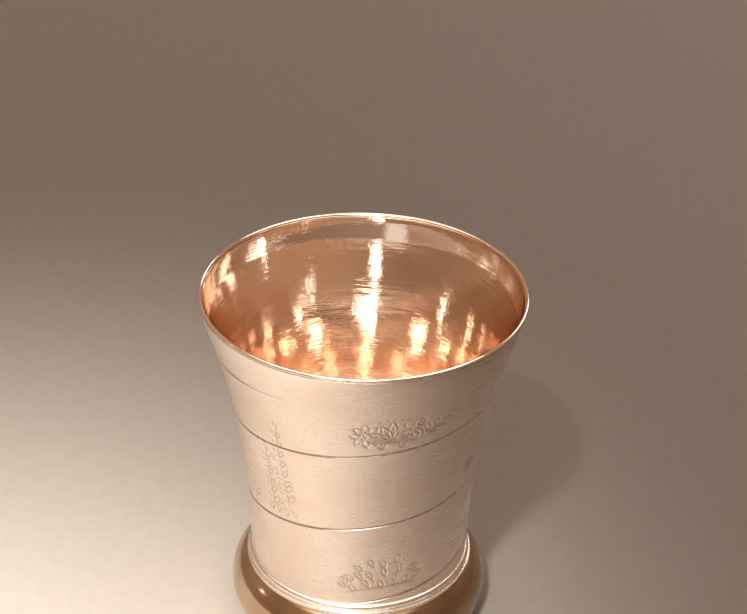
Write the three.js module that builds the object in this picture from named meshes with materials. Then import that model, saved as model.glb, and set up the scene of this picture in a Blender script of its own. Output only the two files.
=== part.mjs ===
// A small footed drinking beaker in parcel-gilt silver: a flared cup of about 60 ml on a half-round foot.
// Millimetres, +Z up. The origin is the centre of the circle that the foot stands on.
// Every piece is a solid of revolution about Z, drawn as an outline of (radius, height) points.
import * as THREE from "three";

// Driving dimensions
const HEIGHT = 60; // from the table to the top of the lip
const RIM_RADIUS = 26; // outermost point of the lip
const WAIST_RADIUS = 18.05; // outside of the body where it meets the foot
const FOOT_RADIUS = 21.4; // widest point of the foot
const ROLL_RADIUS = 6.4; // section radius of the foot's half-round roll
const ROLL_CENTRE_Z = 4.8; // height of the roll's widest point
const SHEET = 0.5; // silver sheet of the body and the foot
const FLOOR_SHEET = 0.8; // thickness of the disc that closes the bottom of the cup
const LINING_SHEET = 0.15; // the gilt skin inside the cup
const FIT_GAP = 0.02; // left between nested surfaces

// The flare of the body is one cubic curve. Its handles keep it nearly upright at the lip and at the waist.
const LIP_HANDLE = new THREE.Vector2(-0.74, -4.94); // from the curve's upper end
const WAIST_HANDLE = new THREE.Vector2(0.92, 32.2); // from the curve's lower end

// Wires and mouldings
const LIP_WIRE_RADIUS = 0.32; // round wire that edges the lip
const LIP_WIRE_PROUD = 0.03; // how far it stands out from the body
const NECK_WIRE_RADIUS = 0.6; // round wire over the joint of body and foot
const NECK_WIRE_PROUD = 0.5;
const FILLET_HEIGHT = 0.7; // flat step under the neck wire
const FILLET_WIDTH = 2.2;
const FILLET_PROUD = 0.75;
const FLANGE_PROUD = 0.1; // how far the foot's top flange shows beyond the fillet
const FLANGE_INNER_RADIUS = 14.5; // inner edge of that flange, under the cup
const BASE_WIRE_HEIGHT = 1.0; // flat wire that the foot stands on
const BASE_WIRE_WIDTH = 2.3;
const BASE_WIRE_STEP_IN = 0.45; // how far it stands inside the roll's lower edge

// Facets
const AROUND = 48;
const FLARE_STEPS = 10;
const ROLL_STEPS = 8;
const WIRE_STEPS = 8;

// Heights and radii that follow from the driving dimensions
const ROLL_CENTRE_RADIUS = FOOT_RADIUS - ROLL_RADIUS;
const FILLET_OUTER_RADIUS = WAIST_RADIUS + FILLET_PROUD;
const FLANGE_TOP_Z = ROLL_CENTRE_Z + rollHeightAt(FILLET_OUTER_RADIUS + FLANGE_PROUD);
const FILLET_TOP_Z = FLANGE_TOP_Z + FILLET_HEIGHT;
const BODY_BASE_Z = FILLET_TOP_Z + 2 * NECK_WIRE_RADIUS;
const BODY_TOP_Z = HEIGHT - 2 * LIP_WIRE_RADIUS;
const FLOOR_TOP_Z = BODY_BASE_Z + FLOOR_SHEET;

const SATIN_SILVER = new THREE.MeshStandardMaterial({ color: 0xd8cdc2, roughness: 0.4, metalness: 1 });
const BRIGHT_SILVER = new THREE.MeshStandardMaterial({ color: 0xe6dfd6, roughness: 0.2, metalness: 1 });
const CUP_GILT = new THREE.MeshStandardMaterial({ color: 0xd08a60, roughness: 0.15, metalness: 1 });
const FOOT_GILT = new THREE.MeshStandardMaterial({ color: 0xa9805c, roughness: 0.22, metalness: 1 });

// Height of the roll's outer face above its centre, at a distance from the cup's axis.
function rollHeightAt(radius) {
  const across = radius - ROLL_CENTRE_RADIUS;
  return Math.sqrt(ROLL_RADIUS * ROLL_RADIUS - across * across);
}

// The outside of the body from its base up to the lip.
function bodyOutline() {
  const base = new THREE.Vector2(WAIST_RADIUS, BODY_BASE_Z);
  const top = new THREE.Vector2(RIM_RADIUS - LIP_WIRE_PROUD, BODY_TOP_Z);
  const nearBase = base.clone().add(WAIST_HANDLE);
  const nearTop = top.clone().add(LIP_HANDLE);
  return new THREE.CubicBezierCurve(base, nearBase, nearTop, top).getPoints(FLARE_STEPS);
}

// The same outline moved in towards the axis, and cut off below a height.
function bodyOutlineInside(inset, lowestZ) {
  const moved = bodyOutline().map((p) => new THREE.Vector2(p.x - inset, p.y));
  const above = moved.filter((p) => p.y > lowestZ);
  const below = moved[moved.length - above.length - 1];
  const share = (lowestZ - below.y) / (above[0].y - below.y);
  return [below.clone().lerp(above[0], share), ...above];
}

// Points along an arc, between two angles in degrees.
function arc(centreR, centreZ, radius, fromDeg, toDeg, steps) {
  const points = [];
  for (let i = 0; i <= steps; i += 1) {
    const angle = THREE.MathUtils.degToRad(fromDeg + ((toDeg - fromDeg) * i) / steps);
    points.push(new THREE.Vector2(centreR + radius * Math.cos(angle), centreZ + radius * Math.sin(angle)));
  }
  return points;
}

// Turns an outline about Z. It runs up its outer side and down its inner side.
// An outline that starts on the axis ends there too, and any other one is closed here.
function revolved(name, outline, material) {
  const startsOnAxis = outline[0].x === 0;
  const closed = startsOnAxis ? outline : [...outline, outline[0].clone()];
  const geometry = new THREE.LatheGeometry(closed, AROUND);
  geometry.rotateX(Math.PI / 2);
  const mesh = new THREE.Mesh(geometry, material);
  mesh.name = name;
  return mesh;
}

// A ring of round wire.
function wireRing(name, centreR, centreZ, radius, material) {
  const section = arc(centreR, centreZ, radius, -90, 270, WIRE_STEPS);
  section.pop();
  return revolved(name, section, material);
}

// A ring of flat wire, or a disc when its inner radius is 0.
function flatRing(name, innerR, outerR, lowZ, highZ, material) {
  const section = [
    new THREE.Vector2(innerR, lowZ),
    new THREE.Vector2(outerR, lowZ),
    new THREE.Vector2(outerR, highZ),
    new THREE.Vector2(innerR, highZ),
  ];
  return revolved(name, section, material);
}

// The tapered, flared wall of the cup.
function bodyWall() {
  const outside = bodyOutline();
  const inside = outside.map((p) => new THREE.Vector2(p.x - SHEET, p.y)).reverse();
  return revolved("body_wall", [...outside, ...inside], SATIN_SILVER);
}

// The disc soldered inside the bottom of the wall.
function bodyFloor() {
  const radius = WAIST_RADIUS - SHEET - FIT_GAP;
  return flatRing("body_floor", 0, radius, BODY_BASE_Z, FLOOR_TOP_Z, SATIN_SILVER);
}

// The gilt skin on the inside of the wall and the top of the floor.
function giltLining() {
  const lowZ = FLOOR_TOP_Z + FIT_GAP;
  const highZ = lowZ + LINING_SHEET;
  const outside = bodyOutlineInside(SHEET + FIT_GAP, lowZ);
  const inside = bodyOutlineInside(SHEET + FIT_GAP + LINING_SHEET, highZ).reverse();
  const onAxisLow = new THREE.Vector2(0, lowZ);
  const onAxisHigh = new THREE.Vector2(0, highZ);
  return revolved("gilt_lining", [onAxisLow, ...outside, ...inside, onAxisHigh], CUP_GILT);
}

// The round wire that stiffens the lip, gilt like the inside.
function lipWire() {
  const centreR = RIM_RADIUS - LIP_WIRE_RADIUS;
  return wireRing("lip_wire", centreR, HEIGHT - LIP_WIRE_RADIUS, LIP_WIRE_RADIUS, CUP_GILT);
}

// The round wire over the joint of body and foot.
function neckWire() {
  const centreR = WAIST_RADIUS + NECK_WIRE_PROUD - NECK_WIRE_RADIUS;
  return wireRing("neck_wire", centreR, FILLET_TOP_Z + NECK_WIRE_RADIUS, NECK_WIRE_RADIUS, BRIGHT_SILVER);
}

// The flat step between the neck wire and the foot's flange.
function neckFillet() {
  const innerR = FILLET_OUTER_RADIUS - FILLET_WIDTH;
  return flatRing("neck_fillet", innerR, FILLET_OUTER_RADIUS, FLANGE_TOP_Z, FILLET_TOP_Z, BRIGHT_SILVER);
}

// The half-round moulding of the foot, open underneath. The cup stands on the flange at its top.
function footRoll() {
  const innerRadius = ROLL_RADIUS - SHEET;
  const outside = rollArc(ROLL_RADIUS, BASE_WIRE_HEIGHT, FLANGE_TOP_Z);
  const inside = rollArc(innerRadius, BASE_WIRE_HEIGHT, FLANGE_TOP_Z - SHEET).reverse();
  const flangeEdge = [
    new THREE.Vector2(FLANGE_INNER_RADIUS, FLANGE_TOP_Z),
    new THREE.Vector2(FLANGE_INNER_RADIUS, FLANGE_TOP_Z - SHEET),
  ];
  return revolved("foot_roll", [...outside, ...flangeEdge, ...inside], FOOT_GILT);
}

// An arc about the roll's centre, up its outer side between two heights.
function rollArc(radius, lowZ, highZ) {
  const lowDeg = THREE.MathUtils.radToDeg(Math.asin((lowZ - ROLL_CENTRE_Z) / radius));
  const highDeg = THREE.MathUtils.radToDeg(Math.asin((highZ - ROLL_CENTRE_Z) / radius));
  return arc(ROLL_CENTRE_RADIUS, ROLL_CENTRE_Z, radius, lowDeg, highDeg, ROLL_STEPS);
}

// The flat wire under the roll, which the beaker stands on.
function baseWire() {
  const rollEdge = ROLL_CENTRE_RADIUS + Math.sqrt(ROLL_RADIUS ** 2 - (ROLL_CENTRE_Z - BASE_WIRE_HEIGHT) ** 2);
  const outerR = rollEdge - BASE_WIRE_STEP_IN;
  return flatRing("base_wire", outerR - BASE_WIRE_WIDTH, outerR, 0, BASE_WIRE_HEIGHT, FOOT_GILT);
}

const cup = new THREE.Group();
cup.add(bodyWall(), bodyFloor(), giltLining(), lipWire());

const foot = new THREE.Group();
foot.add(neckWire(), neckFillet(), footRoll(), baseWire());

const beaker = new THREE.Group();
beaker.add(cup, foot);

export default beaker;
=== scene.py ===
"""A small footed drinking beaker in parcel-gilt silver, built around its CAD frame.

Outlines are lists of (radius, height) in millimetres. Meshes are made in metres, in the frame's own axes.
Angles round the cup are 0 at the front (-Y) and grow towards the right (+X).
"""
import math

import bmesh
import bpy
import numpy as np
from mathutils import Matrix, Vector


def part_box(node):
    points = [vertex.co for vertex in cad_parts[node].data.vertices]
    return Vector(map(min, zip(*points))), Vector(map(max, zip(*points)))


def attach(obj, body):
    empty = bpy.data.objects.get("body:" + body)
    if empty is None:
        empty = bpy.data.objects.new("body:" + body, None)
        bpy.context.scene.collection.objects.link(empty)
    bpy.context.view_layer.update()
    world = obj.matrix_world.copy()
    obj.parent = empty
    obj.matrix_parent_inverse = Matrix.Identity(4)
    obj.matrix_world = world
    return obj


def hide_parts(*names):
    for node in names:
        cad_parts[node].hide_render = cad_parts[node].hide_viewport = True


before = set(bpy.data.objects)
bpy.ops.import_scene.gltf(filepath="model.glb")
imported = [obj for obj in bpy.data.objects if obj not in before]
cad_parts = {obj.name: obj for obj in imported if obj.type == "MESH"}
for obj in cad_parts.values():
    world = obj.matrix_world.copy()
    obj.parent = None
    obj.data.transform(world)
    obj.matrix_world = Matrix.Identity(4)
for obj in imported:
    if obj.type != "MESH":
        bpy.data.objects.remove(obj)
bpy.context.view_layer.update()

MM = 0.001
BODY = "root"


# ---------------------------------------------------------------- sizes

def box_mm(node):
    """A CAD node's lowest and highest corner, in millimetres."""
    low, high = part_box(node)
    return low / MM, high / MM


FIT_GAP = 0.02  # between nested surfaces
LINING_SHEET = 0.15  # the gilt skin inside the cup
LIP_HANDLE = (-0.74, -4.94)  # the flare's curve handles, as in the CAD
WAIST_HANDLE = (0.92, 32.2)
ROLL_RADIUS = 6.4  # section radius of the foot's half-round roll
ROLL_CENTRE_Z = 4.8
FLANGE_INNER_RADIUS = 14.5  # inner edge of the foot's top flange, under the cup
STEP_WIDTH = 2.2  # flat step under the neck ring
STEP_CORNER = 0.12
BASE_RING_WIDTH = 2.3
BASE_RING_CORNER = 0.3

WALL_LOW, WALL_HIGH = box_mm("body_wall")
FLOOR_LOW, FLOOR_HIGH = box_mm("body_floor")
LINING_LOW, LINING_HIGH = box_mm("gilt_lining")
LIP_LOW, LIP_HIGH = box_mm("lip_wire")
NECK_LOW, NECK_HIGH = box_mm("neck_wire")
FILLET_LOW, FILLET_HIGH = box_mm("neck_fillet")
ROLL_LOW, ROLL_HIGH = box_mm("foot_roll")
BASE_LOW, BASE_HIGH = box_mm("base_wire")

FLARE_RADIUS = WALL_HIGH.x
SHEET = WALL_HIGH.x - LINING_HIGH.x - FIT_GAP  # silver sheet of body and foot
WAIST_RADIUS = FLOOR_HIGH.x + FIT_GAP + SHEET
HEIGHT = LIP_HIGH.z

COLUMNS = 288  # round the cup
WALL_COLUMNS = 240  # round the outer wall, before its strokes are cut
FLARE_SAMPLES = 1500


def flare_curve():
    """The outside of the body as a cubic curve, from its base to the lip."""
    base = np.array([WAIST_RADIUS, WALL_LOW.z])
    top = np.array([FLARE_RADIUS, WALL_HIGH.z])
    near_base = base + WAIST_HANDLE
    near_top = top + LIP_HANDLE
    t = np.linspace(0, 1, FLARE_SAMPLES)[:, None]
    s = 1 - t
    return s**3 * base + 3 * s * s * t * near_base + 3 * s * t * t * near_top + t**3 * top


FLARE = flare_curve()


def flare_radius(z):
    """Outside radius of the body at a height."""
    return np.interp(z, FLARE[:, 1], FLARE[:, 0])


def flare_lean(z):
    """Angle by which the body's outside leans out from upright at a height."""
    step = 0.2
    return np.arctan2(flare_radius(z + step) - flare_radius(z - step), 2 * step)


# ---------------------------------------------------------------- mesh helpers

SHARP_TURN = math.radians(35)
ON_AXIS = 1e-6  # a smaller radius is a point on the axis
CORNER_STEPS = 5
CORNER_SHARE = 0.45  # a rounded corner takes no more than this share of each of its sides
DENT_REACH = 3  # a dent is left out of rows that are further away than this many times its size


def arc(centre, radius, start, end, steps):
    """Points of an arc between two angles in degrees, measured from outwards towards up."""
    angles = np.radians(np.linspace(start, end, steps + 1))
    return [(centre[0] + radius * math.cos(a), centre[1] + radius * math.sin(a)) for a in angles]


def rounded(points, radius):
    """A closed outline with each corner replaced by a small arc."""
    made = []
    count = len(points)
    for i, corner in enumerate(points):
        here = np.array(corner, float)
        before = np.array(points[i - 1], float) - here
        after = np.array(points[(i + 1) % count], float) - here
        sides = np.linalg.norm(before), np.linalg.norm(after)
        reach = min(radius, CORNER_SHARE * min(sides))
        start = here + before / sides[0] * reach
        end = here + after / sides[1] * reach
        for t in np.linspace(0, 1, CORNER_STEPS + 1):
            made.append(tuple((1 - t) ** 2 * start + 2 * t * (1 - t) * here + t * t * end))
    return made


def finish_mesh(bm, name):
    """Turns a bmesh in millimetres into an object in metres."""
    bmesh.ops.scale(bm, verts=bm.verts, vec=(MM, MM, MM))
    bmesh.ops.recalc_face_normals(bm, faces=bm.faces)
    mesh = bpy.data.meshes.new(name)
    bm.to_mesh(mesh)
    bm.free()
    mesh.shade_smooth()
    piece = bpy.data.objects.new(name, mesh)
    bpy.context.scene.collection.objects.link(piece)
    return piece


def revolve(name, outline, closed=True, shape=None):
    """Turns an outline about Z. An outline that isn't closed starts and ends on the axis.

    shape(angle, radius, height) may return an inward push in millimetres for each point.
    """
    bm = bmesh.new()
    angles = np.linspace(-math.pi, math.pi, COLUMNS, endpoint=False)
    rings = []
    for radius, height in outline:
        if radius < ON_AXIS:
            rings.append([bm.verts.new((0, 0, height))])
            continue
        radii = np.full(COLUMNS, radius)
        if shape is not None:
            radii = radii - shape(angles, radii, np.full(COLUMNS, height))
        places = zip(radii * np.sin(angles), -radii * np.cos(angles))
        rings.append([bm.verts.new((x, y, height)) for x, y in places])
    count = len(outline)
    for j in range(count if closed else count - 1):
        low, high = rings[j], rings[(j + 1) % count]
        for i in range(COLUMNS):
            k = (i + 1) % COLUMNS
            corners = [low[i % len(low)], low[k % len(low)], high[k % len(high)], high[i % len(high)]]
            bm.faces.new(list(dict.fromkeys(corners)))
    mark_sharp_rings(bm, outline, rings, closed)
    return finish_mesh(bm, name)


def mark_sharp_rings(bm, outline, rings, closed):
    """Splits the shading along every ring where the outline turns sharply."""
    points = np.array(outline, float)
    for j in range(len(points)):
        if not closed and j in (0, len(points) - 1):
            continue
        before = points[j] - points[j - 1]
        after = points[(j + 1) % len(points)] - points[j]
        turn = math.atan2(before[0] * after[1] - before[1] * after[0], before @ after)
        if abs(turn) < SHARP_TURN:
            continue
        ring = rings[j]
        for i, vert in enumerate(ring):
            edge = bm.edges.get((vert, ring[(i + 1) % len(ring)]))
            if edge:
                edge.smooth = False


def dimples(count, size, depth, low, high, seed):
    """Random shallow dents between two heights, as a shape function for revolve()."""
    rng = np.random.default_rng(seed)
    places = rng.uniform(-math.pi, math.pi, count)
    heights = rng.uniform(low, high, count)
    sizes = size * rng.uniform(0.7, 1.3, count)
    depths = depth * rng.uniform(0.3, 1.0, count)

    def shape(angle, radius, height):
        push = np.zeros(len(angle))
        reach = DENT_REACH * sizes
        near = (heights > height.min() - reach) & (heights < height.max() + reach)
        for a, z, s, d in zip(places[near], heights[near], sizes[near], depths[near]):
            across = (np.mod(angle - a + math.pi, 2 * math.pi) - math.pi) * radius
            push += d * np.exp(-(across**2 + (height - z) ** 2) / (s * s))
        return push

    return shape


# ---------------------------------------------------------------- engraving

# The line that winds up the body, counted in turns from where it passes the front for the first time.
SPIRAL_START_Z = WALL_LOW.z + 0.3
SPIRAL_PITCH = 15.6
SPIRAL_EASE_TURN = 2.75  # where the climb eases off
SPIRAL_EASE_WIDTH = 0.5
SPIRAL_EASE = 0.5
SPIRAL_FADE = (2.84, 2.93)  # the turns between which the line runs out
LINE_HALF_WIDTH = 0.22
LINE_DEPTH = 0.15
LINE_STAIN = 0.75  # how much of the dark colour the line holds

# The motifs' strokes
STROKE_HALF_WIDTH = 0.15
STROKE_DEPTH = 0.09
STROKE_STAIN = 0.35
RIBBED_LENGTH = 2.2  # leaves longer than this have a midrib
SCROLL_SHARE = 0.86  # share of its radius by which a scroll winds in
DOT_HALF_LENGTH = 0.05

TURNS = np.linspace(-1.5, 5.0, 2601)


def spiral_heights():
    """Height of the winding line at each of TURNS."""
    eased = SPIRAL_EASE * np.exp(-(((TURNS - SPIRAL_EASE_TURN) / SPIRAL_EASE_WIDTH) ** 2))
    climb = SPIRAL_PITCH * (1 - eased)
    heights = np.concatenate([[0], np.cumsum((climb[1:] + climb[:-1]) / 2 * np.diff(TURNS))])
    return heights - np.interp(0, TURNS, heights) + SPIRAL_START_Z


HEIGHTS = spiral_heights()


def bulged(start, end, bulge, steps=10):
    """A curved stroke between two points, bulging to its left by a share of its length."""
    start, end = np.array(start, float), np.array(end, float)
    along = end - start
    side = np.array([-along[1], along[0]])
    t = np.linspace(0, 1, steps + 1)[:, None]
    return start + along * t + side * bulge * 4 * t * (1 - t)


def volute(centre, radius, start, turns, steps=22):
    """A scroll that winds in to its centre. start is in degrees and the sign of turns is its hand."""
    t = np.linspace(0, 1, steps + 1)
    angle = math.radians(start) + 2 * math.pi * turns * t
    reach = radius * (1 - SCROLL_SHARE * t)
    return np.stack([centre[0] + reach * np.cos(angle), centre[1] + reach * np.sin(angle)], 1)


def leaf(root, direction, length, plump=0.22):
    """A pointed leaf: two curved sides, and a midrib if it is long.

    direction is in degrees, counted from the right.
    """
    root = np.array(root, float)
    tip = root + length * np.array([math.cos(math.radians(direction)), math.sin(math.radians(direction))])
    strokes = [bulged(root, tip, plump, 6), bulged(root, tip, -plump, 6)]
    if length > RIBBED_LENGTH:
        strokes.append(bulged(root, root + (tip - root) * 0.7, 0.02, 3))
    return strokes


def dot(x, y):
    """A small punched mark."""
    return np.array([(x - DOT_HALF_LENGTH, y), (x + DOT_HALF_LENGTH, y)])


def moved(strokes, x, y):
    """The same strokes in another place."""
    return [np.asarray(stroke) + (x, y) for stroke in strokes]


def sprig(height, pairs, spread=2.4):
    """An upright stem with pairs of leaves that shorten towards the top."""
    stem = bulged((0, 0), (0.15 * spread, height), 0.03, 16)
    strokes = [stem]
    for i in range(pairs):
        share = (i + 0.6) / (pairs + 0.4)
        root = stem[int(share * 16)]
        length = spread * (1.1 - 0.5 * share)
        strokes += leaf(root, 48 + 10 * share, length)
        strokes += leaf(root, 132 - 10 * share, length)
    strokes += leaf(stem[-1], 88, spread * 0.7)
    return strokes


def plant():
    """Two tall sprigs side by side with tendrils, over a few low leaves."""
    strokes = moved(sprig(16.5, 8, 2.0), 0.6, 0.4)
    strokes += moved(sprig(11.5, 6, 1.8), -2.6, -0.6)
    for i in range(4):
        strokes.append(volute((-1.0, 1.2 + 2.9 * i), 0.7, 150 - 20 * i, 1.2, 12))
    for i in range(4):
        strokes += leaf((-3.7 + 1.8 * i, -1.6 + 0.15 * (i % 2)), 62 + 18 * i, 1.7)
    return strokes


def rosette(x, y, radius):
    """A round flower: petals about a ring."""
    strokes = [volute((x, y), radius * 0.3, 0, 1, 8)]
    for i in range(8):
        turn = 45 * i
        out = Vector((math.cos(math.radians(turn)), math.sin(math.radians(turn)))) * radius
        strokes += leaf((x + 0.32 * out.x, y + 0.32 * out.y), turn, radius * 0.7, 0.3)
    return strokes


def crest():
    """A rosette and a palmette between scrolls, with leaves that trail to the right."""
    strokes = rosette(-4.6, -0.6, 2.5)
    for i in range(7):
        strokes += leaf((-0.4, -2.4), 90 + (i - 3) * 25, 4.6 - 0.4 * abs(i - 3), 0.17)
    for i in range(5):
        strokes.append(dot(-2.4 + 1.1 * i, 2.7 - 0.25 * abs(i - 2)))
    strokes.append(volute((3.0, -1.6), 1.6, -20, 1.7))
    strokes.append(volute((3.9, 0.9), 1.1, 200, -1.5))
    strokes.append(volute((-2.2, -3.1), 0.9, 160, -1.4))
    strokes.append(volute((1.3, -3.2), 0.9, 20, 1.4))
    strokes.append(bulged((4.6, -1.6), (9.0, 1.0), -0.1, 14))
    for i, (x, y) in enumerate([(5.4, -1.5), (6.7, -0.9), (8.0, 0.0)]):
        strokes += leaf((x, y), 100 - 12 * i, 2.0 - 0.15 * i)
        strokes += leaf((x, y), -20 + 12 * i, 1.4)
    strokes.append(volute((9.3, 1.6), 0.8, -110, 1.3, 14))
    return strokes


def bush():
    """A low mound of small leaves and curls, thinner towards its edges."""
    strokes = []
    for row, (y, count, reach) in enumerate([(-3.0, 7, 5.6), (-1.0, 6, 4.6), (1.0, 4, 3.0)]):
        for i in range(count):
            share = i / (count - 1) * 2 - 1
            x = share * reach + 0.35 * math.sin(5.0 * i + row)
            lift = 0.4 * math.cos(3.0 * i + 2.0 * row)
            strokes += leaf((x, y + lift), 90 - 45 * share + 18 * math.sin(7.0 * i), 1.8)
            strokes.append(dot(x + 0.9, y + lift + 0.9))
    for side in (-1, 1):
        strokes.append(volute((side * 5.9, -1.2), 0.9, 90 - side * 60, side * 1.3, 14))
    strokes.append(bulged((-5.6, -3.6), (5.6, -3.6), 0.04, 14))
    return strokes


def twig():
    """A small pair of leaves with a bud."""
    return leaf((0, -1.2), 40, 2.0) + leaf((0, -1.2), 140, 2.0) + leaf((0, -1.0), 90, 1.7) + [dot(0, 1.2)]


# What is engraved where: strokes, angle in degrees, height, turn in degrees. None crosses the seam at 180.
MOTIFS = [
    (crest(), 13.5, 48.6, 3),
    (plant(), -37, 28.6, 3),
    (twig(), -61, 28.5, 0),
    (rosette(0, 0, 1.6), 60, 34.4, 8),
    (bush(), 11, 18.4, 6),
    (sprig(12.0, 6, 2.2), 88, 33.0, 4),
    (crest(), 128, 39.5, 6),
    (bush(), 100, 21.5, 6),
    (sprig(12.0, 6, 2.2), 158, 20.6, 3),
    (rosette(0, 0, 2.2), 168, 46.0, 0),
    (bush(), -128, 44.0, 6),
    (sprig(12.0, 6, 2.2), -98, 22.8, 4),
    (twig(), -150, 30.5, 0),
    (twig(), -78, 43.2, 0),
]


OUT_OF_REACH = 1e3
POINTS_AT_ONCE = 4000


class Engraving:
    """One motif's strokes, placed on the body. Distances are measured in the motif's own millimetres."""

    def __init__(self, strokes, angle, height, turn):
        self.angle = math.radians(angle)
        self.height = height
        self.radius = float(flare_radius(height))
        c, s = math.cos(math.radians(turn)), math.sin(math.radians(turn))
        rotation = np.array([[c, s], [-s, c]])
        starts = [np.asarray(stroke)[:-1] for stroke in strokes]
        ends = [np.asarray(stroke)[1:] for stroke in strokes]
        self.starts = np.concatenate(starts) @ rotation
        self.ends = np.concatenate(ends) @ rotation
        both = np.concatenate([self.starts, self.ends])
        self.low, self.high = both.min(0), both.max(0)

    def local(self, angle, height):
        """Points of the body in the motif's own coordinates."""
        across = (angle - self.angle) * self.radius
        return np.stack([across, height - self.height], 1)

    def distance(self, angle, height, reach):
        """Distance from each point to the nearest stroke, or a large number beyond reach."""
        points = self.local(angle, height)
        found = np.full(len(points), OUT_OF_REACH)
        near = np.all((points > self.low - reach) & (points < self.high + reach), axis=1)
        index = np.nonzero(near)[0]
        along = self.ends - self.starts
        length2 = np.maximum((along**2).sum(1), 1e-12)
        for part in np.array_split(index, max(1, len(index) // POINTS_AT_ONCE)):
            offset = points[part][:, None, :] - self.starts[None]
            share = np.clip((offset * along).sum(2) / length2, 0, 1)
            gap = offset - share[..., None] * along
            found[part] = np.sqrt((gap**2).sum(2)).min(1)
        return found


def line_depth(angle, height):
    """How deep the winding line is cut at each point."""
    depth = np.zeros(len(angle))
    for lap in range(-1, 4):
        turn = lap + angle / (2 * math.pi)
        middle = np.interp(turn, TURNS, HEIGHTS)
        share = np.clip(1 - (height - middle) ** 2 / LINE_HALF_WIDTH**2, 0, 1)
        fade = np.clip((SPIRAL_FADE[1] - turn) / (SPIRAL_FADE[1] - SPIRAL_FADE[0]), 0, 1)
        depth = np.maximum(depth, LINE_DEPTH * share * fade)
    return depth


# ---------------------------------------------------------------- body wall

# Rows of the wall's outer face follow the winding line. Shares of a turn, dense beside the line.
BESIDE_LINE = (0, 0.0035, 0.007, 0.0105, 0.014, 0.0175, 0.023, 0.032)
ROWS_BETWEEN = 18
REFINE_REACH = (0.37, 0.22, 0.14)  # how near a stroke a face is to be divided once, twice and three times
SNAP = 0.06  # rows closer than this to an edge of the wall end on it
CUT_FADE = 0.2  # the cuts run out this near the wall's edges
DENT_FADE = 2.0  # and the dents this near
INNER_ROWS = 24
FLAT_WELD = 1e-4  # points this near are one point, on the flat sheet and on the finished wall
WALL_WELD = 2e-4


def row_shares():
    """Where the rows of one lap lie, from one pass of the winding line to the next."""
    beside = sorted({*BESIDE_LINE, *(1 - s for s in BESIDE_LINE if s > 0)})
    first, last = max(s for s in beside if s < 0.5), min(s for s in beside if s > 0.5)
    between = np.linspace(first, last, ROWS_BETWEEN + 2)[1:-1]
    return np.array(sorted([*beside, *between]))


def flat_wall():
    """The wall's outer face rolled out flat: x is the angle times the waist's radius, y is the height."""
    shares = row_shares()
    rows = np.concatenate([lap + shares for lap in range(-1, 5)])
    angles = np.linspace(-math.pi, math.pi, WALL_COLUMNS + 1)
    heights = np.interp(rows[:, None] + angles[None] / (2 * math.pi), TURNS, HEIGHTS)
    low, high = WALL_LOW.z, WALL_HIGH.z
    heights[heights < low + SNAP] = low
    heights[heights > high - SNAP] = high
    bm = bmesh.new()
    grid = [[bm.verts.new((a * WAIST_RADIUS, z, 0)) for a, z in zip(angles, row)] for row in heights]
    for j in range(len(rows) - 1):
        for i in range(WALL_COLUMNS):
            column = heights[j : j + 2, i : i + 2]
            if np.all(column == low) or np.all(column == high):
                continue
            bm.faces.new((grid[j][i], grid[j][i + 1], grid[j + 1][i + 1], grid[j + 1][i]))
    loose = [v for v in bm.verts if not v.link_faces]
    bmesh.ops.delete(bm, geom=loose, context="VERTS")
    bmesh.ops.remove_doubles(bm, verts=bm.verts, dist=FLAT_WELD)
    return bm


def refine(bm, engravings):
    """Divides the faces near the strokes, so that the strokes can be cut into them."""
    for reach in REFINE_REACH:
        faces = list(bm.faces)
        centres = np.array([f.calc_center_median()[:2] for f in faces])
        angle = centres[:, 0] / WAIST_RADIUS
        near = np.zeros(len(faces), bool)
        for engraving in engravings:
            near |= engraving.distance(angle, centres[:, 1], reach) < reach
        edges = {e for f, hit in zip(faces, near) if hit for e in f.edges}
        bmesh.ops.subdivide_edges(bm, edges=list(edges), cuts=1, use_grid_fill=True)


def body_wall():
    """The tapered wall with its engraving cut into the outer face."""
    bm = flat_wall()
    engravings = [Engraving(*motif) for motif in MOTIFS]
    refine(bm, engravings)
    flat = np.array([v.co[:2] for v in bm.verts])
    angle, height = flat[:, 0] / WAIST_RADIUS, flat[:, 1]
    depth = line_depth(angle, height)
    stain = LINE_STAIN * depth / LINE_DEPTH
    for engraving in engravings:
        gap = engraving.distance(angle, height, STROKE_HALF_WIDTH)
        share = np.clip(1 - (gap / STROKE_HALF_WIDTH) ** 2, 0, 1)
        depth = np.maximum(depth, STROKE_DEPTH * share)
        stain = np.maximum(stain, STROKE_STAIN * share)
    lean = flare_lean(height)
    dents = dimples(count=90, size=5.0, depth=0.02, low=WALL_LOW.z, high=WALL_HIGH.z - 4, seed=3)
    uneven = dents(angle, WAIST_RADIUS, height)
    from_edge = np.minimum(height - WALL_LOW.z, WALL_HIGH.z - height)
    depth = depth * np.clip(from_edge / CUT_FADE, 0, 1)
    radius = flare_radius(height) - depth * np.cos(lean) - uneven * np.clip(from_edge / DENT_FADE, 0, 1)
    lifted = height + depth * np.sin(lean)
    for vert, a, r, z in zip(bm.verts, angle, radius, lifted):
        vert.co = (r * math.sin(a), -r * math.cos(a), z)
    stained = bm.verts.layers.float.new("stain")
    for vert, share in zip(bm.verts, stain):
        vert[stained] = share
    add_inner_face(bm)
    bmesh.ops.remove_doubles(bm, verts=bm.verts, dist=WALL_WELD)
    sharpen_rims(bm)
    return finish_mesh(bm, "silver_wall")


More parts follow.
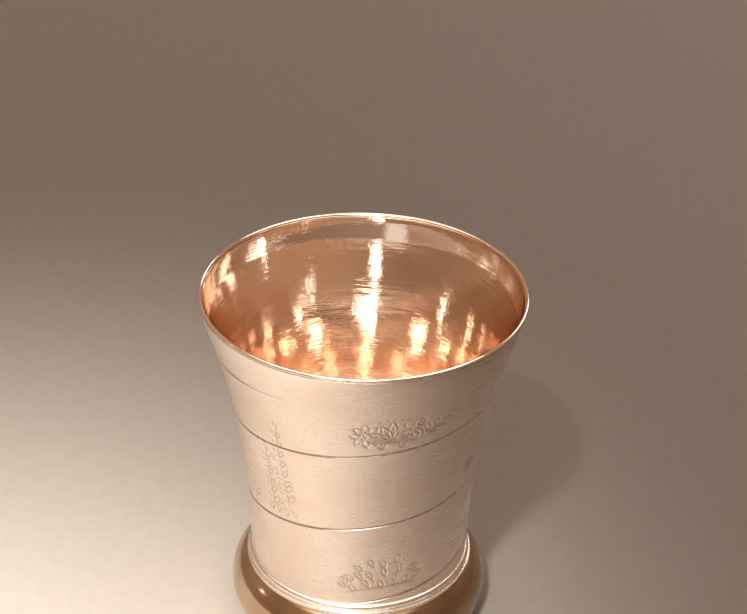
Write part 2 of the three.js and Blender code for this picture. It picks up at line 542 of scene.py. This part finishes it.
def add_inner_face(bm):
    """The wall's top edge, inner face and bottom edge, which meet the outer face at its two rims."""
    inner = [(r - SHEET, z) for r, z in FLARE[:: FLARE_SAMPLES // INNER_ROWS][::-1]]
    inner[0] = (FLARE_RADIUS - SHEET, WALL_HIGH.z)
    inner[-1] = (WAIST_RADIUS - SHEET, WALL_LOW.z)
    outline = [(FLARE_RADIUS, WALL_HIGH.z), *inner, (WAIST_RADIUS, WALL_LOW.z)]
    angles = np.linspace(-math.pi, math.pi, WALL_COLUMNS + 1)
    rings = [[bm.verts.new((r * math.sin(a), -r * math.cos(a), z)) for a in angles] for r, z in outline]
    for low, high in zip(rings, rings[1:]):
        for i in range(WALL_COLUMNS):
            bm.faces.new((low[i], low[i + 1], high[i + 1], high[i]))


def sharpen_rims(bm):
    """Splits the shading at the wall's four corner rings."""
    for edge in bm.edges:
        z = {round(v.co.z, 4) for v in edge.verts}
        if z == {round(WALL_HIGH.z, 4)} or z == {round(WALL_LOW.z, 4)}:
            edge.smooth = False


# ---------------------------------------------------------------- the other pieces

LIP_BAND = 4.0  # a low ridge inside the cup, this far below the lip
RIDGE_HEIGHT = 0.2
RIDGE_FADE = 9.0  # over this height below the ridge it runs out
CORNER_RADIUS = 1.2  # between the inside of the wall and the bottom
FACE_ROWS = 170
BACK_ROWS = 24
BOTTOM_RINGS = 26
FLOOR_BEVEL = 0.15
WIRE_STEPS = 24
ROLL_STEPS = 56
ROLL_BACK_STEPS = 24


def body_floor():
    """The soldered bottom disc, seen from underneath."""
    radius, low, high = FLOOR_HIGH.x, FLOOR_LOW.z, FLOOR_HIGH.z
    edge = radius - FLOOR_BEVEL
    outline = [(0, low), (2, low), (radius * 0.6, low), (edge, low), (radius, low + FLOOR_BEVEL)]
    outline += [(radius, high - FLOOR_BEVEL), (edge, high), (radius * 0.5, high), (0, high)]
    return revolve("bottom_disc", outline, closed=False)


def lining_outline():
    """The inside of the cup: up behind the gilt face, down the face and in to the middle of the bottom."""
    bottom = LINING_LOW.z + LINING_SHEET
    z = np.linspace(LINING_HIGH.z, bottom, FACE_ROWS)
    below_lip = HEIGHT - z
    rising = np.clip(below_lip / LIP_BAND, 0, 1)
    falling = np.clip(1 - (below_lip - LIP_BAND) / RIDGE_FADE, 0, 1)
    radius = flare_radius(z) - SHEET - FIT_GAP - LINING_SHEET - RIDGE_HEIGHT * rising * falling
    corner_z = bottom + CORNER_RADIUS
    edge = float(np.interp(-corner_z, -z, radius))
    front = [p for p in zip(radius, z) if p[1] > corner_z]
    front += arc((edge - CORNER_RADIUS, corner_z), CORNER_RADIUS, 0, -90, 8)
    flat = [(r, bottom) for r in np.linspace(edge - CORNER_RADIUS, 0, BOTTOM_RINGS)[1:]]
    back_z = np.linspace(LINING_LOW.z, LINING_HIGH.z, BACK_ROWS)
    back = list(zip(flare_radius(back_z) - SHEET - FIT_GAP, back_z))
    return [(0, LINING_LOW.z), *back, *front, *flat]


def gilt_lining():
    """The gilt inside of the cup. Its face is slightly uneven, as hand planishing leaves it."""
    lowest = LINING_LOW.z + 1
    broad = dimples(count=160, size=3.0, depth=0.016, low=lowest, high=HEIGHT, seed=11)
    small = dimples(count=1100, size=1.0, depth=0.014, low=lowest, high=HEIGHT, seed=12)

    def shape(angle, radius, height):
        inside = radius < flare_radius(height) - SHEET - FIT_GAP - 0.5 * LINING_SHEET
        on_wall = height > lowest
        dents = broad(angle, radius, height) + small(angle, radius, height)
        return np.where(inside & on_wall, -dents, 0)

    return revolve("gilt_inside", lining_outline(), closed=False, shape=shape)


def wire_ring(name, low, high):
    """A ring of round wire that fills a CAD wire's box."""
    radius = (high.z - low.z) / 2
    centre = (high.x - radius, (high.z + low.z) / 2)
    return revolve(name, arc(centre, radius, -90, 270, WIRE_STEPS)[:-1])


def flat_ring(name, low, high, width, corner):
    """A ring of flat wire with softened corners."""
    inner = high.x - width
    outline = [(inner, low.z), (high.x, low.z), (high.x, high.z), (inner, high.z)]
    return revolve(name, rounded(outline, corner))


def roll_arc(radius, low, high, steps):
    """An arc about the roll's centre, between two heights."""
    start = math.degrees(math.asin((low - ROLL_CENTRE_Z) / radius))
    end = math.degrees(math.asin((high - ROLL_CENTRE_Z) / radius))
    return arc((ROLL_HIGH.x - ROLL_RADIUS, ROLL_CENTRE_Z), radius, start, end, steps)


def foot_roll():
    """The half-round moulding of the foot, with its top flange. It is open underneath."""
    low, high = ROLL_LOW.z, ROLL_HIGH.z
    outline = roll_arc(ROLL_RADIUS, low, high, ROLL_STEPS)
    outline += [(FLANGE_INNER_RADIUS, high), (FLANGE_INNER_RADIUS, high - SHEET)]
    outline += roll_arc(ROLL_RADIUS - SHEET, low, high - SHEET, ROLL_BACK_STEPS)[::-1]
    dents = dimples(count=60, size=1.6, depth=0.01, low=low, high=high, seed=5)
    return revolve("foot_moulding", outline, shape=dents)


# ---------------------------------------------------------------- materials

QUARTER_TURN = 0.25


class Graph:
    """A node tree, written as expressions."""

    def __init__(self, tree):
        self.tree = tree

    def add(self, kind, inputs=None, **settings):
        node = self.tree.nodes.new(kind)
        for key, value in settings.items():
            setattr(node, key, value)
        for key, value in (inputs or {}).items():
            self.put(value, node.inputs[key])
        return node

    def put(self, value, socket):
        """Links a socket to another one, or sets its value."""
        if isinstance(value, bpy.types.NodeSocket):
            self.tree.links.new(value, socket)
        else:
            socket.default_value = value

    def maths(self, operation, *values):
        return self.add("ShaderNodeMath", dict(enumerate(values)), operation=operation).outputs[0]

    def between(self, value, low, high, out_low=0.0, out_high=1.0, **settings):
        inputs = {"Value": value, "From Min": low, "From Max": high, "To Min": out_low, "To Max": out_high}
        return self.add("ShaderNodeMapRange", inputs, **settings).outputs["Result"]


class Surface(Graph):
    """The nodes of one material. It is a metal unless it is told otherwise."""

    def __init__(self, name):
        self.material = bpy.data.materials.new(name)
        self.material.use_nodes = True
        super().__init__(self.material.node_tree)
        self.bsdf = self.tree.nodes["Principled BSDF"]
        self.position = self.add("ShaderNodeTexCoord").outputs["Object"]

    def noise(self, scale, detail=3.0, vector=None, roughness=0.5):
        inputs = {"Vector": vector or self.position, "Scale": scale, "Detail": detail, "Roughness": roughness}
        return self.add("ShaderNodeTexNoise", inputs).outputs["Fac"]

    def blend(self, share, first, second):
        node = self.add("ShaderNodeMix", data_type="RGBA")
        self.put(share, node.inputs["Factor"])
        self.put(first, node.inputs["A"])
        self.put(second, node.inputs["B"])
        return node.outputs["Result"]

    def round_marks(self, across, along, side=1):
        """Coordinates for marks that run round the cup. Walls and flat discs get them alike.

        side is -1 where the surface falls away outwards, as on the foot.
        """
        x, y, z = self.add("ShaderNodeSeparateXYZ", {"Vector": self.position}).outputs
        square = self.maths("ADD", self.maths("MULTIPLY", x, x), self.maths("MULTIPLY", y, y))
        reach = self.maths("MULTIPLY", self.maths("SQRT", square), side)
        inputs = {
            "X": self.maths("MULTIPLY", x, across),
            "Y": self.maths("MULTIPLY", y, across),
            "Z": self.maths("MULTIPLY", self.maths("ADD", z, reach), along),
        }
        return self.add("ShaderNodeCombineXYZ", inputs).outputs["Vector"]

    def stretch_highlights(self, amount):
        """Highlights stretch across marks that run round the cup."""
        tangent = self.add("ShaderNodeTangent", direction_type="RADIAL", axis="Z")
        self.put(tangent.outputs["Tangent"], self.bsdf.inputs["Tangent"])
        self.put(amount, self.bsdf.inputs["Anisotropic"])
        self.put(QUARTER_TURN, self.bsdf.inputs["Anisotropic Rotation"])

    def bump(self, height, distance, strength, under=None):
        """A bump in metres, on top of another one if that is given."""
        inputs = {"Height": height, "Distance": distance, "Strength": strength}
        if under is not None:
            inputs["Normal"] = under
        return self.add("ShaderNodeBump", inputs).outputs["Normal"]

    def finish(self, colour, roughness, normal, metallic=1.0):
        self.put(metallic, self.bsdf.inputs["Metallic"])
        self.put(colour, self.bsdf.inputs["Base Color"])
        self.put(roughness, self.bsdf.inputs["Roughness"])
        self.put(normal, self.bsdf.inputs["Normal"])
        return self.material


SILVER = (0.91, 0.80, 0.72, 1)
SILVER_CLOUD = (0.86, 0.72, 0.63, 1)
SILVER_WORN = (0.80, 0.64, 0.53, 1)
CUT_DIRT = (0.28, 0.18, 0.11, 1)

WIRE = (0.94, 0.89, 0.83, 1)
WIRE_CLOUD = (0.84, 0.75, 0.66, 1)

GILT = (0.92, 0.82, 0.74, 1)
GILT_CLOUD = (0.90, 0.77, 0.67, 1)
GILT_WORN = (0.87, 0.66, 0.52, 1)

OLD_GILT = (0.63, 0.47, 0.33, 1)
OLD_GILT_CLOUD = (0.49, 0.34, 0.22, 1)
OLD_GILT_BROWN = (0.30, 0.20, 0.12, 1)

FLOOR_PALE = (0.57, 0.555, 0.535, 1)
FLOOR_PALER = (0.60, 0.585, 0.565, 1)
FLOOR_ROUGHNESS = 0.6


def satin_silver():
    """Brushed round the cup, cloudy with age, and darker in the cuts."""
    s = Surface("satin_silver")
    brushed = s.noise(1.0, 4.0, s.round_marks(90, 4200), 0.55)
    cloudy = s.noise(120, 4.0)
    patches = s.noise(40, 2.0)
    stain = s.add("ShaderNodeAttribute", attribute_name="stain").outputs["Fac"]
    silver = s.blend(s.between(cloudy, 0.35, 0.7), SILVER, SILVER_CLOUD)
    silver = s.blend(s.between(patches, 0.5, 0.75, 0, 0.5), silver, SILVER_WORN)
    colour = s.blend(stain, silver, CUT_DIRT)
    rough = s.maths("ADD", s.between(brushed, 0.3, 0.7, 0.25, 0.31), s.between(cloudy, 0.4, 0.7, -0.02, 0.05))
    fine = s.bump(brushed, 0.00001, 0.045)
    s.stretch_highlights(0.55)
    return s.finish(colour, rough, s.bump(cloudy, 0.00005, 0.2, fine))


def bright_silver():
    """Burnished silver wire."""
    s = Surface("bright_silver")
    cloudy = s.noise(300, 3.0)
    colour = s.blend(s.between(cloudy, 0.4, 0.7), WIRE, WIRE_CLOUD)
    rough = s.between(cloudy, 0.3, 0.7, 0.2, 0.32)
    return s.finish(colour, rough, s.bump(s.noise(1800, 2.0), 0.00002, 0.2))


def cup_gilt():
    """Rose gilding, highly polished over fine turned marks."""
    s = Surface("cup_gilt")
    marks = s.noise(1.0, 4.0, s.round_marks(160, 1400), 0.6)
    cloudy = s.noise(110, 4.0)
    patches = s.noise(38, 3.0)
    gilt = s.blend(s.between(cloudy, 0.35, 0.7), GILT, GILT_CLOUD)
    colour = s.blend(s.between(patches, 0.5, 0.75, 0, 0.6), gilt, GILT_WORN)
    rough = s.maths("ADD", s.between(marks, 0.3, 0.7, 0.02, 0.05), s.between(cloudy, 0.45, 0.75, 0, 0.03))
    grooves = s.bump(marks, 0.00003, 0.8)
    return s.finish(colour, rough, s.bump(s.noise(700, 3.0), 0.00003, 0.6, grooves))


def foot_gilt():
    """Old gilding on the foot, browned in patches."""
    s = Surface("foot_gilt")
    marks = s.noise(1.0, 4.0, s.round_marks(60, 4200, -1), 0.6)
    cloudy = s.noise(160, 5.0)
    patches = s.noise(60, 3.0)
    gilt = s.blend(s.between(cloudy, 0.35, 0.7), OLD_GILT, OLD_GILT_CLOUD)
    colour = s.blend(s.between(patches, 0.42, 0.66, 0, 0.75), gilt, OLD_GILT_BROWN)
    rough = s.maths("ADD", s.between(marks, 0.3, 0.7, 0.08, 0.17), s.between(cloudy, 0.45, 0.75, 0, 0.08))
    fine = s.bump(marks, 0.00001, 0.25)
    s.stretch_highlights(0.3)
    return s.finish(colour, rough, s.bump(cloudy, 0.00004, 0.15, fine))


def pale_floor():
    """The matt ground under the cup."""
    s = Surface("pale_floor")
    speckle = s.noise(400, 3.0)
    colour = s.blend(s.between(speckle, 0.3, 0.7), FLOOR_PALE, FLOOR_PALER)
    return s.finish(colour, FLOOR_ROUGHNESS, s.bump(speckle, 0.0001, 0.1), metallic=0.0)


# ---------------------------------------------------------------- assembly

def finish_piece(piece, node, material):
    """Gives a piece its material, and puts it in the place of a CAD node."""
    piece.data.materials.append(material)
    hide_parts(node)
    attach(piece, BODY)


def build():
    silver, wire, inside, foot = satin_silver(), bright_silver(), cup_gilt(), foot_gilt()
    finish_piece(body_wall(), "body_wall", silver)
    finish_piece(body_floor(), "body_floor", silver)
    finish_piece(gilt_lining(), "gilt_lining", inside)
    finish_piece(wire_ring("lip_edge", LIP_LOW, LIP_HIGH), "lip_wire", inside)
    finish_piece(wire_ring("neck_ring", NECK_LOW, NECK_HIGH), "neck_wire", wire)
    step = flat_ring("neck_step", FILLET_LOW, FILLET_HIGH, STEP_WIDTH, STEP_CORNER)
    finish_piece(step, "neck_fillet", wire)
    finish_piece(foot_roll(), "foot_roll", foot)
    base = flat_ring("base_ring", BASE_LOW, BASE_HIGH, BASE_RING_WIDTH, BASE_RING_CORNER)
    finish_piece(base, "base_wire", foot)


# ---------------------------------------------------------------- stage, light and camera

FLOOR_SIZE = 4  # metres


def floor():
    bpy.ops.mesh.primitive_plane_add(size=FLOOR_SIZE)
    plane = bpy.context.object
    plane.name = "floor"
    plane.data.materials.append(pale_floor())


# The main soft light
KEY_COLOUR = (1.0, 0.89, 0.77)
KEY_AZIMUTH = -12
KEY_ELEVATION = 55
KEY_DISTANCE = 0.8  # metres
KEY_SIZE = 0.1
KEY_POWER = 0.165  # watts
KEY_SPREAD = 17  # degrees
KEY_TARGET = (-0.085, -0.06, 0.0)  # on the floor, left of the cup and in front of it

# The room's own light, dimmer on the right and near the floor
ROOM_COLOUR = (1.0, 0.62, 0.41)
ROOM_LEFT = 0.52
ROOM_RIGHT = 0.33
ROOM_LOW_SHARE = 0.8
ROOM_ON_FLOOR = 0.52  # share of it that the floor gets

# Round soft lights about the cup: azimuth, elevation, half angle in degrees, and strength.
# A negative strength dims the middle of another one.
GLOWS = [
    (0, 90, 34, 2.6),
    (0, 90, 19, -1.8),
    (-10, 48, 18, 6.0),
    (163, 33, 5, 8.0),
    (-27, 29, 3, 8.0),
    (-97, 22, 1.6, 10.0),
    (150, 58, 8, 6.0),
    (-22, 9, 8, 0.5),
]
GLOW_COLOUR = (1.0, 0.97, 0.93)
GLOW_EDGE = 0.25  # share of a glow's half angle over which it fades out
GLOWS_ON_FLOOR = 0.02

GLOSSY_BOUNCES = 14  # light is reflected many times inside the cup


def towards(azimuth, elevation):
    """The direction from the cup at two angles in degrees. Azimuth 0 is the camera's side, 90 the right."""
    a, e = math.radians(azimuth), math.radians(elevation)
    return Vector((math.sin(a) * math.cos(e), -math.cos(a) * math.cos(e), math.sin(e)))


class Studio(Graph):
    """A world of soft light: a warm dim room, with round glows in it. The floor takes a smaller share."""

    def __init__(self):
        self.world = bpy.data.worlds.new("studio")
        self.world.use_nodes = True
        self.world.cycles.sampling_method = "NONE"  # the floor's share needs the kind of each ray
        super().__init__(self.world.node_tree)
        self.direction = self.add("ShaderNodeTexCoord").outputs["Generated"]
        self.on_floor = self.add("ShaderNodeLightPath").outputs["Is Diffuse Ray"]

    def fade(self, value, low, high, out_low, out_high):
        return self.between(value, low, high, out_low, out_high, interpolation_type="SMOOTHSTEP")

    def glow(self, azimuth, elevation, half_angle, strength):
        """Strength inside a round patch of the world."""
        inputs = {0: self.direction, 1: towards(azimuth, elevation)}
        facing = self.add("ShaderNodeVectorMath", inputs, operation="DOT_PRODUCT").outputs["Value"]
        outside = math.cos(math.radians(half_angle * (1 + GLOW_EDGE)))
        inside = math.cos(math.radians(half_angle * (1 - GLOW_EDGE)))
        return self.fade(facing, outside, inside, 0, strength)

    def room(self):
        """Strength of the room's own light."""
        split = self.add("ShaderNodeSeparateXYZ", {0: self.direction}).outputs
        by_side = self.fade(split["X"], -1, 1, ROOM_LEFT, ROOM_RIGHT)
        by_height = self.fade(split["Z"], 0.1, 0.45, ROOM_LOW_SHARE, 1)
        return self.maths("MULTIPLY", by_side, by_height)

    def background(self, colour, strength, floor_share):
        """Light of one colour, of which the floor gets a share."""
        share = self.fade(self.on_floor, 0, 1, 1, floor_share)
        inputs = {"Color": (*colour, 1), "Strength": self.maths("MULTIPLY", strength, share)}
        return self.add("ShaderNodeBackground", inputs).outputs[0]

    def finish(self):
        """Joins the room's light and the glows."""
        glows = [self.glow(*glow) for glow in GLOWS]
        total = glows[0]
        for strength in glows[1:]:
            total = self.maths("ADD", total, strength)
        room = self.background(ROOM_COLOUR, self.room(), ROOM_ON_FLOOR)
        lamps = self.background(GLOW_COLOUR, total, GLOWS_ON_FLOOR)
        both = self.add("ShaderNodeAddShader", {0: room, 1: lamps}).outputs[0]
        self.put(both, self.tree.nodes["World Output"].inputs["Surface"])
        bpy.context.scene.world = self.world


def key_light():
    """The main soft light. Its beam is narrow, so the floor darkens away from the target."""
    direction = towards(KEY_AZIMUTH, KEY_ELEVATION)
    data = bpy.data.lights.new("key", "AREA")
    data.shape = "DISK"
    data.size = KEY_SIZE
    data.energy = KEY_POWER
    data.spread = math.radians(KEY_SPREAD)
    data.color = KEY_COLOUR
    light = bpy.data.objects.new("key", data)
    light.location = Vector(KEY_TARGET) + direction * KEY_DISTANCE
    light.rotation_mode = "QUATERNION"
    light.rotation_quaternion = direction.to_track_quat("Z", "Y")
    bpy.context.scene.collection.objects.link(light)


CAMERA_DISTANCE = 0.312  # metres from the middle of the rim
CAMERA_ELEVATION = math.radians(30.38)
CAMERA_YAW = math.radians(0.278)
CAMERA_PITCH = math.radians(-0.479)
CAMERA_ROLL = math.radians(-1.233)
CAMERA_LENS = 96.0
CAMERA_SENSOR = 36
NEAREST, FARTHEST = 0.01, 20


def turn_pair(first, second, angle):
    """Two perpendicular vectors turned in their plane."""
    c, s = math.cos(angle), math.sin(angle)
    return c * first - s * second, s * first + c * second


def camera():
    """A camera that looks down at the rim. Yaw, pitch and roll turn it away from the rim's middle."""
    rim = Vector((0, 0, HEIGHT * MM))
    back = Vector((0, -math.cos(CAMERA_ELEVATION), math.sin(CAMERA_ELEVATION)))
    forward = -back
    right = Vector((1, 0, 0))
    up = right.cross(forward)
    right, forward = turn_pair(right, forward, CAMERA_YAW)
    up, forward = turn_pair(up, forward, CAMERA_PITCH)
    right, up = turn_pair(right, up, CAMERA_ROLL)
    data = bpy.data.cameras.new("camera")
    data.lens = CAMERA_LENS
    data.sensor_width = CAMERA_SENSOR
    data.clip_start = NEAREST
    data.clip_end = FARTHEST
    eye = bpy.data.objects.new("camera", data)
    place = rim + back * CAMERA_DISTANCE
    eye.matrix_world = Matrix((
        (right.x, up.x, -forward.x, place.x),
        (right.y, up.y, -forward.y, place.y),
        (right.z, up.z, -forward.z, place.z),
        (0, 0, 0, 1),
    ))
    bpy.context.scene.collection.objects.link(eye)
    bpy.context.scene.camera = eye


build()
floor()
Studio().finish()
key_light()
camera()
bpy.context.scene.view_settings.view_transform = "Standard"
bpy.context.scene.cycles.glossy_bounces = GLOSSY_BOUNCES
